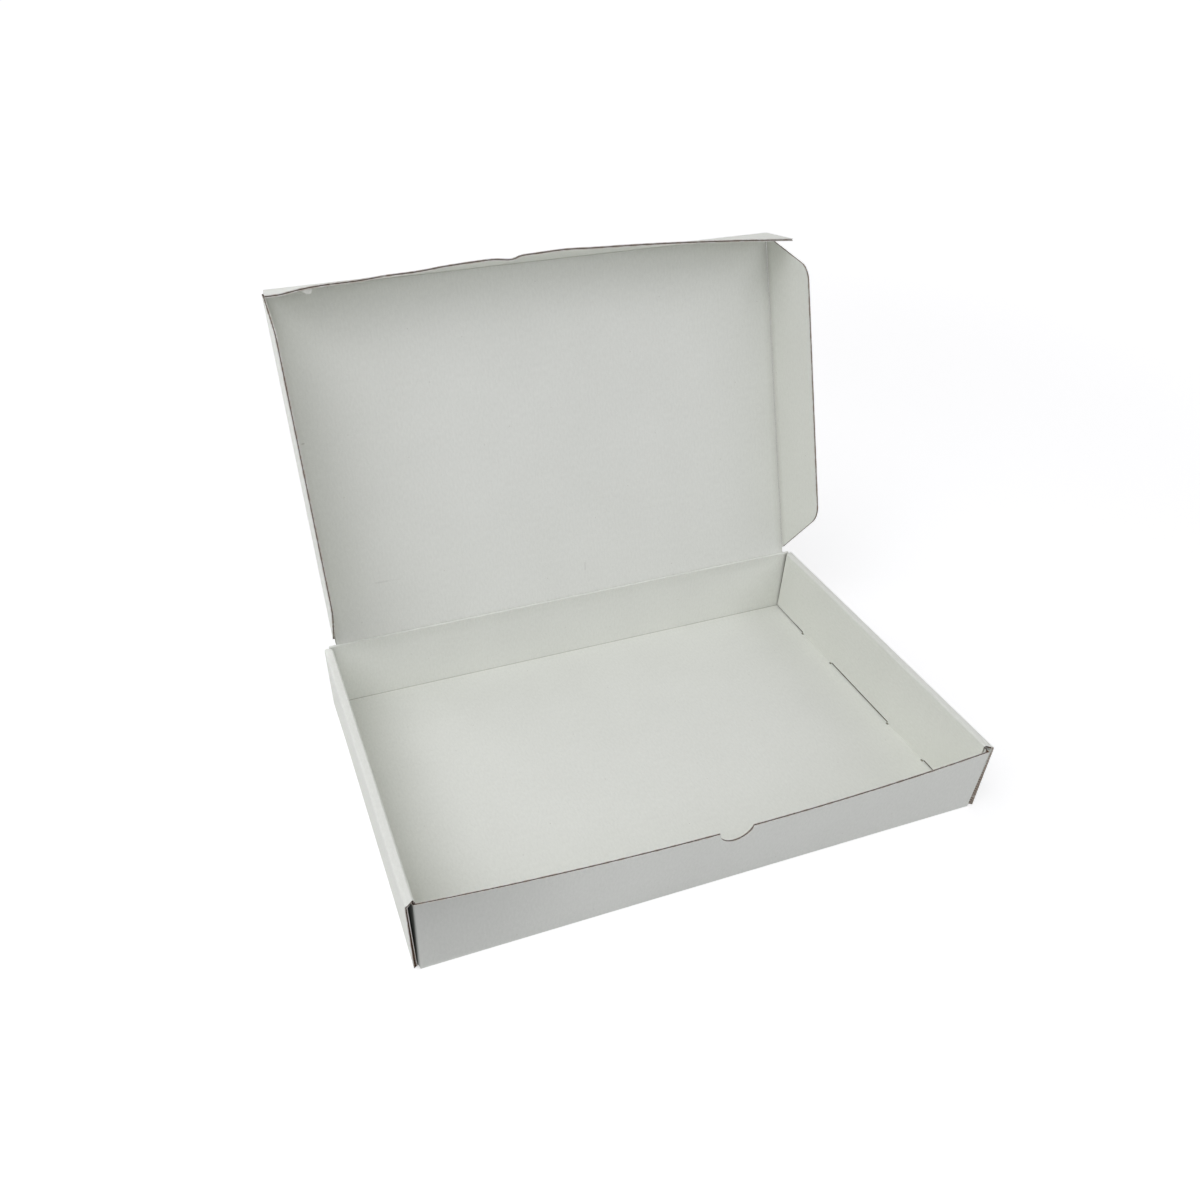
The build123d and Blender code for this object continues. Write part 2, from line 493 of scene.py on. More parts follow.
@dataclass(frozen=True)
class FlutingFinish:
    """Brown fluting between the liners, seen where the board is cut: the paper's wave, and painted shade in the hollows
    beside it.
    """

    name: str = "brown_fluting"
    wave_tone: tuple = (0.24, 0.155, 0.105, 1.0)
    # Painted shade in the hollows between the fluting and the liners.
    hollow_shade: tuple = (0.06, 0.039, 0.027, 1.0)
    smear: tuple = (0.60, 0.57, 0.52, 1.0)
    pitch: float = 1.9 * MM
    wave_reach: float = 0.34
    wave_edges: tuple = (0.102, 0.238)
    grain_size: float = 0.5 * MM
    grain_shares: tuple = (0.8, 0.4)
    smear_size: float = 13 * MM
    smear_ends: tuple = (0.70, 0.76)
    noise_detail: float = 3.0
    roughness: float = 0.82
    roughness_spread: float = 0.12
    specular: float = 0.15

    def material(self) -> bpy.types.Material:
        """Builds the node material.

        Returns:
            The finished material.
        """
        material, graph = new_material(self.name)
        sheet = graph.node("ShaderNodeUVMap", {"uv_map": SHEET_MAP})
        across = graph.node("ShaderNodeSeparateXYZ", None, {0: sheet}).value("X")
        wave = (across * (2 * math.pi / self.pitch)).sine() * self.wave_reach
        medium = 1 - abs(graph.attribute(PLY) - wave).step(*self.wave_edges)
        grain = self._noise(graph, sheet, self.grain_size)
        smear = self._noise(graph, sheet, self.smear_size)
        least, spread = self.grain_shares
        tone = graph.mix(medium * (grain * spread + least), self.hollow_shade, self.wave_tone)
        tone = graph.mix(smear.step(*self.smear_ends), tone, self.smear)
        shader = graph.node("ShaderNodeBsdfPrincipled", None, {
            "Base Color": tone, "Roughness": grain * self.roughness_spread + self.roughness,
            "Specular IOR Level": self.specular})
        graph.node("ShaderNodeOutputMaterial", None, {"Surface": shader})
        return material

    def _noise(self, graph: Graph, sheet: Made, size: float) -> Val:
        """Noise over the sheet, with patches of one size."""
        inputs = {"Vector": sheet, "Scale": 1 / size, "Detail": self.noise_detail}
        return graph.node("ShaderNodeTexNoise", {"noise_dimensions": "2D"}, inputs).value()


@dataclass(frozen=True)
class FloorFinish:
    """Plain pale table that reads as white to the camera and keeps the soft shadow."""

    name: str = "pale_table"
    tone: tuple = (0.65, 0.65, 0.65, 1.0)
    near_lift: float = 0.56
    near: float = 0.5
    far: float = 2.2

    def material(self) -> bpy.types.Material:
        """Builds the node material.

        Returns:
            The finished material.
        """
        material, graph = new_material(self.name)
        place = graph.node("ShaderNodeTexCoord").out("Object")
        reach = graph.node("ShaderNodeVectorMath", {"operation": "LENGTH"}, {0: place}).value("Value")
        lift = reach.step(self.near, self.far) * (1 - self.near_lift) + self.near_lift
        matt = graph.node("ShaderNodeBsdfDiffuse", None, {"Color": self.tone})
        tone = graph.mix(seen_directly(graph) * lift, BLACK, WHITE)
        glow = graph.node("ShaderNodeEmission", None, {"Color": tone})
        surface = graph.node("ShaderNodeAddShader", None, {0: matt, 1: glow})
        graph.node("ShaderNodeOutputMaterial", None, {"Surface": surface})
        return material


class Card:
    """A piece of board on the bench: a surface at the middle of the board, shaped in edit mode."""

    def __init__(self, name: str, low: tuple, high: tuple, level: float = 0.0) -> None:
        """Lays down a flat panel.

        Args:
            name: Name of the piece.
            low: Lowest x and y of the panel.
            high: Highest x and y of the panel.
            level: Its height.
        """
        bpy.ops.object.select_all(action="DESELECT")
        middle = ((low[0] + high[0]) / 2, (low[1] + high[1]) / 2, level)
        bpy.ops.mesh.primitive_plane_add(size=1.0, location=middle)
        self.obj = bpy.context.active_object
        self.obj.name = name
        self.obj.data.name = name
        bpy.ops.object.mode_set(mode="EDIT")
        bpy.ops.transform.resize(value=(high[0] - low[0], high[1] - low[1], 1.0), center_override=middle)
        bpy.ops.object.mode_set(mode="OBJECT")
        bpy.ops.object.transform_apply(location=True, rotation=True, scale=True)
        bpy.ops.object.mode_set(mode="EDIT")

    def _mesh(self) -> bmesh.types.BMesh:
        """Mesh under edit."""
        return bmesh.from_edit_mesh(self.obj.data)

    def _pick(self, kind: str, keep: Callable[[Part], bool]) -> int:
        """Selects the parts of the mesh that pass a test.

        Args:
            kind: VERT, EDGE or FACE.
            keep: The test.

        Returns:
            How many were selected.
        """
        bpy.ops.mesh.select_mode(type=kind)
        bpy.ops.mesh.select_all(action="DESELECT")
        mesh = self._mesh()
        found = [part for part in {"VERT": mesh.verts, "EDGE": mesh.edges, "FACE": mesh.faces}[kind] if keep(part)]
        for part in found:
            part.select_set(True)
        mesh.select_flush_mode()
        bmesh.update_edit_mesh(self.obj.data)
        return len(found)

    def pick_edges(self, rule: Rule) -> int:
        """Selects and counts the edges whose two ends both keep to a rule."""
        return self._pick("EDGE", lambda edge: all(rule(vert.co) for vert in edge.verts))

    def pick_faces(self, rule: Rule) -> int:
        """Selects and counts the faces whose middle keeps to a rule."""
        return self._pick("FACE", lambda face: rule(face.calc_center_median()))

    def pick_verts(self, rule: Rule) -> int:
        """Selects and counts the vertices that keep to a rule."""
        return self._pick("VERT", lambda vert: rule(vert.co))

    def score(self, axis: int, places: Iterable[float], rule: Rule = anywhere) -> None:
        """Cuts lines across the faces that keep to a rule.

        Args:
            axis: 0, 1 or 2 for cuts square to x, y or z.
            places: Where the cuts are along that axis.
            rule: Test of a face's middle.
        """
        normal = Vector((0.0, 0.0, 0.0))
        normal[axis] = 1.0
        for place in places:
            if self.pick_faces(rule):
                bpy.ops.mesh.bisect(plane_co=normal * place, plane_no=normal, threshold=NEAR / 10)

    def cut_out(self, rule: Rule) -> None:
        """Removes the faces whose middle keeps to a rule."""
        if self.pick_faces(rule):
            bpy.ops.mesh.delete(type="FACE")

    def pull(self, move: Sequence[float]) -> None:
        """Draws new panels out of the selected edges."""
        bpy.ops.mesh.extrude_region_move(TRANSFORM_OT_translate={"value": move})

    def shift(self, move: Sequence[float]) -> None:
        """Moves what is selected."""
        bpy.ops.transform.translate(value=move)

    def round_edges(self, rule: Rule, radius: float, segments: int = 3) -> None:
        """Bends sharp folds into round ones.

        Args:
            rule: Test of both ends of a fold's edges.
            radius: Setback of the bend on both sides.
            segments: Faces round the bend.
        """
        if self.pick_edges(rule):
            bpy.ops.mesh.bevel(offset_type="OFFSET", offset=radius, segments=segments, affect="EDGES")

    def round_corners(self, rule: Rule, setback: float, segments: int = 8) -> None:
        """Rounds corners of the outline.

        Args:
            rule: Test of a corner's place.
            setback: How far from the corner the round starts.
            segments: Edges round the corner.
        """
        if self.pick_verts(rule):
            bpy.ops.mesh.bevel(offset_type="OFFSET", offset=setback, segments=segments, affect="VERTICES")

    def settle(self, place: Callable[[Vector], Vector]) -> None:
        """Moves every vertex by a formula, for bows and waves that no single step gives.

        Args:
            place: New place of a vertex, from its old one.
        """
        mesh = self._mesh()
        for vert in mesh.verts:
            vert.co = place(vert.co.copy())
        bmesh.update_edit_mesh(self.obj.data)

    def thicken(self, board: float) -> None:
        """Gives the surface the board's thickness, half to each side, with raw edges all round.

        Args:
            board: Thickness of the board.
        """
        bpy.ops.mesh.select_all(action="SELECT")
        bpy.ops.mesh.normals_make_consistent(inside=False)
        bpy.ops.object.mode_set(mode="OBJECT")
        half = len(self.obj.data.vertices)
        for face in Face:
            self.obj.data.materials.append(FINISHES[face])
        solid = self.obj.modifiers.new("board", "SOLIDIFY")
        solid.thickness = board
        solid.offset = 0.0
        solid.use_even_offset = True
        solid.material_offset_rim = Face.RAW_EDGE.value
        bpy.ops.object.modifier_apply(modifier=solid.name)
        sides = [1.0] * half + [-1.0] * (len(self.obj.data.vertices) - half)
        self.note(PLY, sides)
        bpy.ops.object.mode_set(mode="EDIT")

    def groove(self, board: float, lip: float, depth: float, rule: Rule = anywhere,
               finish: Face = Face.FLUTING) -> None:
        """Sinks the fluting between the two liners into the raw edges.

        Args:
            board: Thickness of the board.
            lip: Thickness of each liner's edge.
            depth: How far the fluting lies below the liners' edges.
            rule: Test of a raw face's middle.
            finish: Finish of the fluting.
        """
        self._pick("FACE", lambda face: face.material_index == Face.RAW_EDGE.value
                   and rule(face.calc_center_median()))
        bpy.ops.mesh.inset(thickness=lip, depth=0.0, use_even_offset=False)
        mesh = self._mesh()
        ply = mesh.verts.layers.float[PLY]
        for vert in {vert for face in mesh.faces if face.select for vert in face.verts}:
            vert[ply] = math.copysign(1 - 2 * lip / board, vert[ply])
        bmesh.update_edit_mesh(self.obj.data)
        self.obj.active_material_index = finish.value
        bpy.ops.object.material_slot_assign()
        bpy.ops.mesh.inset(thickness=NEAR, depth=-depth, use_even_offset=False)

    def note(self, name: str, values: Sequence[float]) -> None:
        """Writes one number on every vertex.

        Args:
            name: Name of the mesh attribute.
            values: The numbers, in the vertices' order.
        """
        attribute = self.obj.data.attributes.get(name) or self.obj.data.attributes.new(name, "FLOAT", "POINT")
        attribute.data.foreach_set("value", list(values))

    def map_sheet(self, place: Callable[[Vector], tuple], painted_shade_at: Callable[[Vector], float]) -> None:
        """Writes where each point lies on the flat sheet, and how much painted shade it carries.

        Args:
            place: Place on the flat sheet, from the place in the mesh.
            painted_shade_at: Amount of painted shade from 0 to 1, or down to -1 for the cool painted shade on a face
                turned from the light, from the place in the mesh.
        """
        bpy.ops.object.mode_set(mode="OBJECT")
        mesh = self.obj.data
        layer = mesh.uv_layers.get(SHEET_MAP) or mesh.uv_layers.new(name=SHEET_MAP)
        mesh.uv_layers.active = layer
        places = [place(vert.co) for vert in mesh.vertices]
        for loop in mesh.loops:
            layer.uv[loop.index].vector = places[loop.vertex_index]
        self.note(PAINTED_SHADE, [painted_shade_at(vert.co) for vert in mesh.vertices])
        bpy.ops.object.mode_set(mode="EDIT")

    def hang_flake(self, flake: "Flake", place: Sequence[float]) -> None:
        """Adds a torn scrap of liner that hangs from an edge, square to the panel.

        Args:
            flake: The scrap.
            place: Middle of its root.
        """
        width, length = flake.width, flake.length
        bpy.ops.mesh.select_all(action="DESELECT")
        bpy.ops.mesh.primitive_grid_add(x_subdivisions=flake.columns, y_subdivisions=flake.rows, size=1.0,
                                        location=place)
        bpy.ops.transform.resize(value=(width, length, 1.0), center_override=place)
        bpy.ops.mesh.extrude_region_move(TRANSFORM_OT_translate={"value": (0, 0, flake.thick)})
        bpy.ops.mesh.select_linked()
        mesh = self._mesh()
        for vert in (vert for vert in mesh.verts if vert.select):
            side, out, deep = vert.co - Vector(place)
            drop = out / length + 0.5
            vert.co.x = place[0] + side * (1 - flake.taper * drop ** 2) + flake.drift * width * drop
            vert.co.y = place[1] + deep + flake.curl * length * drop
            vert.co.z = place[2] + length * drop
        bmesh.update_edit_mesh(self.obj.data)
        bpy.ops.mesh.normals_make_consistent(inside=False)

    def whiten(self, rule: Rule) -> None:
        """Gives the white liner to raw faces, as at a fold.

        Args:
            rule: Test of a face's middle.
        """
        if self.pick_faces(rule):
            self.obj.active_material_index = Face.LINER.value
            bpy.ops.object.material_slot_assign()

    def finish(self, place: Matrix, body: str, node: str) -> bpy.types.Object:
        """Puts the piece in its place in the box and hands it to its body.

        Args:
            place: Where the piece's own frame lies in the box.
            body: Body that it moves with.
            node: Solid that it stands for.

        Returns:
            The finished object.
        """
        bpy.ops.object.mode_set(mode="OBJECT")
        bpy.ops.object.select_all(action="DESELECT")
        self.obj.select_set(True)
        bpy.context.view_layer.objects.active = self.obj
        self.obj.matrix_world = place
        bpy.ops.object.transform_apply(location=True, rotation=True, scale=True)
        bpy.ops.object.shade_smooth_by_angle(angle=SMOOTH_ANGLE)
        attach(self.obj, body)
        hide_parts(node)
        LOG.info("%s: %d faces", self.obj.name, len(self.obj.data.polygons))
        return self.obj


@dataclass
class Tray:
    """Floor, bowed front wall, back wall, rolled double side walls with locked tabs, and hidden corner flaps."""

    board: float = 1.4 * MM
    half_width: float = 168.0 * MM
    half_depth: float = 107.0 * MM
    side_height: float = 46.2 * MM
    front_height: float = 43.6 * MM
    left_lean: float = 0.5 * MM
    right_lean: float = 0.1 * MM
    back_lean: float = 1.7 * MM
    front_left_lean: float = -5.0 * MM
    front_right_lean: float = 0.5 * MM
    front_bow: float = 6.8 * MM
    inner_ply: float = 163.2 * MM
    corner_flap: float = 164.8 * MM
    corner_radius: float = 1.0 * MM
    spine_radius: float = 1.7 * MM
    spine_segments: int = 4
    sharp_bend: float = 0.35 * MM
    end_inset: float = 0.3 * MM
    end_rake: float = 0.2 * MM
    front_left_rake: float = 4.0 * MM
    inner_setback: float = 3.0 * MM
    front_left_setback: float = 1.2 * MM
    back_setback: float = 2.7 * MM
    back_rake: float = 1.4 * MM
    end_bulge: float = 0.2 * MM
    bulge_fade: tuple = (0.64, 0.93)
    slanted_cut: float = 1.1 * MM
    right_reach: float = 1.2 * MM
    right_draw: float = 0.9 * MM
    back_raise: float = 0.5 * MM
    top_round: float = 0.6 * MM
    back_bead: float = 1.0 * MM
    front_foot: float = 0.9 * MM
    corner_draw: float = 1.7 * MM
    corner_push: float = 0.1 * MM
    corner_draw_reach: float = 14.0 * MM
    flap_step: float = 8.0 * MM
    foot_gap: float = 1.0 * MM
    flap_gap: float = 0.3 * MM
    crease_width: float = 0.25 * MM
    crease_shade: float = 0.45
    tab_width: float = 37.0 * MM
    tab_spacing: float = 100.8 * MM
    tab_lift: float = 0.2 * MM
    slot_clearance: float = 0.3 * MM
    slot_overlap: float = 0.3 * MM
    hook_width: float = 1.1 * MM
    hook_length: float = 1.5 * MM
    hook_fade: float = 0.3 * MM
    hook_shade: float = 0.85
    ply_shade: float = 0.9
    flap_length: float = 84.0 * MM
    flap_corner_cut: float = 12.0 * MM
    notch_radius: float = 9.6 * MM
    notch_rise: float = 0.6 * MM
    notch_offset: float = 5.0 * MM
    corner_notch: float = 1.4 * MM
    wall_columns: int = 40
    notch_columns: int = 16
    wall_rows: int = 5
    shade_start: float = 0.3 * MM
    faint_shade: float = 0.34
    faint_start: float = 0.35
    faint_foot: float = 0.5
    lip: float = 0.42 * MM
    groove_depth: float = 0.7 * MM
    open_lip: float = 0.45 * MM
    open_groove: float = 0.05 * MM

    def __post_init__(self) -> None:
        """Works out the middle of the board where the panels meet."""
        self.half = self.board / 2
        self.mid_x = self.half_width - self.half
        self.mid_y = self.half_depth - self.half
        self.ply_x = self.inner_ply + self.half
        self.flap_x = self.corner_flap + self.half
        self.wall_end = self.corner_flap + self.board - self.corner_radius
        self.foot = self.board + self.foot_gap
        self.flap_foot = self.board + self.flap_gap
        self.spine_level = self.side_height - self.half
        self.corner_y = self.mid_y - self.corner_notch
        self.end_y = self.half_depth - self.end_inset
        self.side_leans = ((Side.LEFT, self.left_lean), (Side.RIGHT, self.right_lean))

    def build(self) -> bpy.types.Object:
        """Models the tray as one folded sheet.

        Returns:
            The finished tray.
        """
        self.card = Card("tray_sheet", (-self.mid_x, -self.mid_y), (self.mid_x, self.mid_y), self.half)
        self._lay_out_floor()
        self._raise_front_and_back()
        self._roll_sides()
        self._fold_corner_flaps()
        self._round_folds()
        self._trim_side_ends()
        self._bow_front()
        self.card.thicken(self.board)
        self.card.settle(self._slant_cut)
        self._soften_back_edge()
        # The cut at the right wall's front end gets the lighter fluting, with painted light.
        self.card.groove(self.board, self.open_lip, self.open_groove, self._on_open_cut, Face.OPEN_FLUTING)
        self.card.groove(self.board, self.lip, self.groove_depth, lambda p: not self._on_open_cut(p))
        self.card.map_sheet(self._sheet_place, self._tray_painted_shade)
        return self.card.finish(Matrix.Identity(4), "tray", "tray")

    def _soften_back_edge(self) -> None:
        """Rounds the back wall's top, where the lid's fold lies over it, and gives it the liner."""
        inner_y = self.mid_y + self.back_lean - self.back_bead - self.half
        self.card.round_edges(lambda p: p.z > self.side_height + NEAR and abs(p.y - inner_y) < self.half / 2
                              and abs(p.x) < self.wall_end, self.top_round)
        self.card.whiten(lambda p: p.y > self.mid_y - self.board and p.z > self.side_height - self.half
                         and abs(p.x) < self.wall_end)

    def _lay_out_floor(self) -> None:
        """Scores the floor, cuts its corners and the slots for the tabs."""
        middle, reach = self.tab_spacing / 2, self.tab_width / 2
        slot_low = self.inner_ply + self.slot_overlap
        slot_high = self.inner_ply + self.board + self.slot_clearance
        hook = self.inner_ply - self.hook_width
        self.card.score(0, both(self.wall_end, slot_low, slot_high, self.inner_ply, hook, hook - self.hook_fade))
        self.card.score(1, both(self.corner_y))
        for step in (-self.hook_fade, 0.0, self.hook_length, self.hook_length + self.hook_fade):
            self.card.score(1, both(middle - reach + step, middle + reach - step))
        self.card.score(0, spaced(-self.wall_end, self.wall_end, self.wall_columns))
        self.card.cut_out(lambda p: abs(p.x) > self.wall_end and abs(p.y) > self.corner_y)
        self.card.cut_out(lambda p: slot_low < abs(p.x) < slot_high and abs(abs(p.y) - middle) < reach)

    def _raise_front_and_back(self) -> None:
        """Draws the front and back walls up from the floor's edges and scores them."""
        for sign, height in ((-1, self.front_height), (1, self.side_height)):
            on_wall = on_plane(1, sign * self.mid_y)
            self.card.pick_edges(on_wall)
            self.card.pull((0, 0, height - self.half))
            self.card.score(2, [self.flap_foot, 2 * self.board, self.front_height], on_wall)
            self.card.score(2, spaced(self.foot, self.front_height, self.wall_rows), on_wall)
        ends = math.sqrt(self.notch_radius ** 2 - self.notch_rise ** 2)
        turns = spaced(0, math.pi, self.notch_columns)
        columns = [self.notch_offset + ends * share for share in (-1, 1, *map(math.cos, turns))]
        self.card.score(0, columns, lambda p: p.y < -self.mid_y + NEAR
                        and abs(p.x - self.notch_offset) < 2 * self.notch_radius)

    def _roll_sides(self) -> None:
        """Draws the side walls up, over and down again, and their tabs through the floor."""
        middle, reach = self.tab_spacing / 2, self.tab_width / 2
        for side, lean in self.side_leans:
            sign = side.value
            self.card.pick_edges(on_plane(0, sign * self.mid_x))
            self.card.pull((sign * lean, 0, self.spine_level - self.half))
            self.card.pull((-sign * (self.mid_x + lean - self.ply_x), 0, 0))
            self.card.pull((0, 0, self.foot - self.spine_level))
            self.card.pick_edges(lambda p: abs(p.x - sign * self.ply_x) < NEAR and abs(p.z - self.foot) < NEAR
                                 and abs(abs(p.y) - middle) < reach + NEAR)
            self.card.pull((0, 0, self.tab_lift - self.foot))

    def _fold_corner_flaps(self) -> None:
        """Draws a flap from each end of the front and back walls, to lie inside the side walls."""
        run = self.flap_length - self.half
        for sign in (-1, 1):
            for side in Side:
                edge_x = side.value * self.wall_end
                self.card.pick_edges(lambda p: abs(p.x - edge_x) < NEAR and abs(p.y - sign * self.mid_y) < NEAR
                                     and self.flap_foot - NEAR < p.z < self.front_height + NEAR)
                self.card.pull((side.value * (self.flap_x - self.wall_end), 0, 0))
                self.card.pull((0, -sign * self.flap_step, 0))
                self.card.pull((0, -sign * (run - self.flap_step), 0))
                end = sign * (self.mid_y - run)
                self.card.round_corners(
                    lambda p: abs(p.x - side.value * self.flap_x) < NEAR and abs(p.y - end) < NEAR
                    and min(abs(p.z - self.flap_foot), abs(p.z - self.front_height)) < NEAR,
                    self.flap_corner_cut / 2, 1)

    def _round_folds(self) -> None:
        """Rounds the spines and the upright corners."""
        card = self.card
        for side, lean in self.side_leans:
            round_bend = (self.mid_x + lean, self.spine_radius - self.half, self.spine_segments)
            for place, radius, segments in (round_bend, (self.ply_x, self.sharp_bend, 1)):
                card.round_edges(lambda p: abs(p.z - self.spine_level) < NEAR
                                 and abs(p.x - side.value * place) < NEAR, radius, segments)
        card.round_edges(lambda p: abs(abs(p.x) - self.flap_x) < NEAR and abs(abs(p.y) - self.mid_y) < NEAR,
                         self.corner_radius - self.half - NEAR, 1)

    def _trim_side_ends(self) -> None:
        """Sets the raw ends of the side walls: the outer ply full length, the spine slanted, the inner ply short."""
        ply_inside = self.half_width - self.board
        width = ply_inside - self.inner_ply

        def place(p: Vector) -> Vector:
            """Moves an end vertex along the wall.

            Args:
                p: Place in the folded sheet.

            Returns:
                Place with the wall's end cut to length.
            """
            on_wall = abs(p.x) > self.inner_ply and p.z > self.foot - NEAR or abs(p.x) > self.mid_x - NEAR
            if not on_wall or abs(abs(p.y) - self.corner_y) > NEAR:
                return p
            share = min(max((ply_inside - abs(p.x)) / width, 0.0), 1.0)
            climb = max(p.z - self.board, 0.0) / self.side_height
            if p.y > 0:
                p.y = self.end_y - share * (self.back_setback - self.back_rake * climb) - self.end_rake * climb
            elif p.x > 0:
                p.y = self.inner_setback * share + self.end_rake * climb - self.end_y
                p.y -= self.right_reach * (1 - share) * (1 - climb)
            else:
                under = smooth(self.side_height - 2 * self.board, self.side_height - 4 * self.board, p.z)
                setback = self.inner_setback + self.front_left_setback * under
                p.y = setback * share + self.front_left_rake * climb - self.end_y
                p.x -= self.end_bulge * (1 - share) * (1 - smooth(*self.bulge_fade, p.z / self.side_height))
            return p

        self.card.settle(place)

    def lean(self, x: float) -> float:
        """How far the front wall's top stands out at x.

        Args:
            x: Place along the wall.

        Returns:
            Distance out of upright at the wall's top.
        """
        along = min(max(x / self.wall_end, -1.0), 1.0)
        ends = self.front_left_lean + (self.front_right_lean - self.front_left_lean) * (along + 1) / 2
        return ends + self.front_bow * (1 - along ** 2)

    def _notch_top(self, x: float) -> float:
        """Height of the front wall at x, with its thumb notch.

        Args:
            x: Place along the wall.

        Returns:
            Height of the wall's edge there.
        """
        off = abs(x - self.notch_offset)
        if off >= self.notch_radius:
            return self.front_height
        dip = self.front_height + self.notch_rise - math.sqrt(self.notch_radius ** 2 - off ** 2)
        return min(self.front_height, dip)

    def _draw(self, p: Vector) -> float:
        """How far an end of the front wall is shifted along x, away from the side wall.

        Args:
            p: Place on the wall or its corner.

        Returns:
            Shift towards +x: above zero at most of the left end, below zero at the right end.
        """
        near_end = smooth(self.wall_end - self.corner_draw_reach, self.wall_end, abs(p.x))
        if p.x > 0:
            return -self.right_draw * near_end
        return (self.corner_draw * p.z / self.front_height - self.corner_push) * near_end

    def _bow_front(self) -> None:
        """Cuts the thumb notch, bows the front wall out and leans the walls and their flaps."""
        def place(p: Vector) -> Vector:
            """Moves a vertex of the front or back wall, or of a flap.

            Args:
                p: Place in the folded sheet with upright walls.

            Returns:
                Place with the walls bowed and leaning.
            """
            on_flap = self.wall_end < abs(p.x) < self.mid_x - self.half and p.z < self.front_height + NEAR
            on_front = p.y < -self.mid_y + NEAR and abs(p.x) < self.wall_end + NEAR
            on_back = p.y > self.mid_y - NEAR and abs(p.x) < self.wall_end + NEAR
            if on_front and abs(p.y + self.mid_y) < NEAR:
                p.z = p.z * self._notch_top(p.x) / self.front_height
            if (on_front or on_flap and p.y < 0) and p.z > self.half:
                if p.y < -self.mid_y + self.flap_step - NEAR:
                    p.x += self._draw(p)
                p.y -= self.lean(p.x) * p.z / self.front_height
            if on_front:
                p.y -= self.front_foot * max(0.0, 1 - p.z / self.front_height)
            elif (on_back or on_flap and p.y > 0) and p.z > self.half:
                p.y += self.back_lean * p.z / self.side_height
                crown = smooth(self.front_height, self.side_height, p.z) if on_back else 0.0
                p.y -= self.back_bead * crown
                p.z += self.back_raise * crown
            return p

        self.card.settle(place)

    def _on_open_cut(self, p: Vector) -> bool:
        """Whether a raw face is at the right wall's front end, where the cut lies open to the light."""
        return p.y < self.slanted_cut + self.half - self.end_y and p.x > self.half_width - self.board - self.half

    def _slant_cut(self, p: Vector) -> Vector:
        """Slants the cut at the right wall's front end, and keeps the sheet on the table.

        Args:
            p: Place in the tray.

        Returns:
            Place with the cut's inner edge further back.
        """
        ply_inside = self.half_width - self.board
        at_end = p.y < -self.end_y + self.board and p.z < self.side_height - 2 * self.board
        if at_end and abs(p.x - ply_inside) < self.half:
            p.y += self.slanted_cut
        p.z = max(p.z, 0.0)
        return p

    def _sheet_place(self, p: Vector) -> tuple:
        """Place on the flat sheet, with the flutes running from front to back.

        Args:
            p: Place in the tray.

        Returns:
            Distance across the flutes and along them.
        """
        sign = math.copysign(1.0, p.x)
        reach = abs(p.x)
        if reach > self.mid_x - self.board and p.z < self.spine_level - self.board:
            return sign * (self.mid_x + p.z), p.y
        if reach > self.inner_ply - NEAR and p.z > self.spine_level - self.spine_radius:
            return sign * (self.mid_x + self.spine_level + self.mid_x - reach), p.y
        if p.z < self.foot - NEAR and abs(p.y) < self.mid_y - self.board:
            return p.x, p.y
        if reach > self.corner_flap - NEAR:
            return sign * (self.wall_end + self.mid_y - abs(p.y)), p.z
        if reach > self.inner_ply - NEAR and abs(p.y) < self.end_y - self.inner_setback + NEAR:
            return sign * (2 * self.spine_level + self.mid_x - p.z), p.y
        return p.x, math.copysign(self.mid_y + p.z, p.y)

    def _tray_painted_shade(self, p: Vector) -> float:
        """Painted shade on a point of the tray.

        Args:
            p: Place in the tray.

        Returns:
            Depth from 0, in the open, to 1, or to -1 on a face turned from the light.
        """
        reach, run = abs(p.x), abs(p.y)
        # Painted shade on the floor under the inner plies and at the ends of the tab slots.
        if abs(p.z - self.board) < NEAR and run < self.corner_y - NEAR:
            return self._floor_shade(reach, run)
        on_flap = self.corner_flap - NEAR < reach < self.corner_flap + self.board + NEAR
        below_spine = self.board < p.z < self.front_height + self.half
        # Painted shade, full, on the back corner flaps inside the side walls.
        if on_flap and below_spine and p.y > 0:
            return 1.0
        inner_y = self.half_depth - self.board + self.back_lean * p.z / self.side_height
        # Painted shade along the fold between the floor and the back wall.
        if abs(p.y - inner_y) < self.crease_width and p.z < self.board + self.crease_width:
            return self.crease_shade
        wall_y = -self.half_depth - self.lean(p.x) * p.z / self.front_height
        on_front = p.y < wall_y + 2 * self.board or on_flap and p.y < 0
        # Painted shade at the front wall's left end, deep in the gap and faint along the wall.
        if on_front and below_spine and p.x < 0 and reach < self.corner_flap + self.board + NEAR:
            return self._front_left_shade(p)
        return 0.0

    def _floor_shade(self, reach: float, run: float) -> float:
        """Shade on the floor under the inner plies, with a small hook at each end of a tab.

        Args:
            reach: Distance from the middle, across.
            run: Distance from the middle, along.

        Returns:
            Depth from 0 to 1.
        """
        inside = self.tab_width / 2 - abs(run - self.tab_spacing / 2)
        at_hook = -NEAR < inside < self.hook_length + NEAR
        if at_hook and reach > self.inner_ply - self.hook_width - NEAR:
            return self.hook_shade
        return self.ply_shade if reach > self.inner_ply + NEAR else 0.0

    def _front_left_shade(self, p: Vector) -> float:
        """Shade on the left end of the front wall, deep in the gap beside it and faint along it.

        Args:
            p: Place on the wall or its corner.

        Returns:
            Depth from 0 to -1, below zero for the cool tone of a face turned from the light.
        """
        x = self._draw(p) - p.x
        gap = smooth(self.wall_end + self.shade_start, self.corner_flap + self.board, x)
        climb = self.faint_foot + (1 - self.faint_foot) * p.z / self.front_height
        faint = smooth(self.wall_end * self.faint_start, self.wall_end, x) * climb
        return -min(1.0, gap + self.faint_shade * faint)


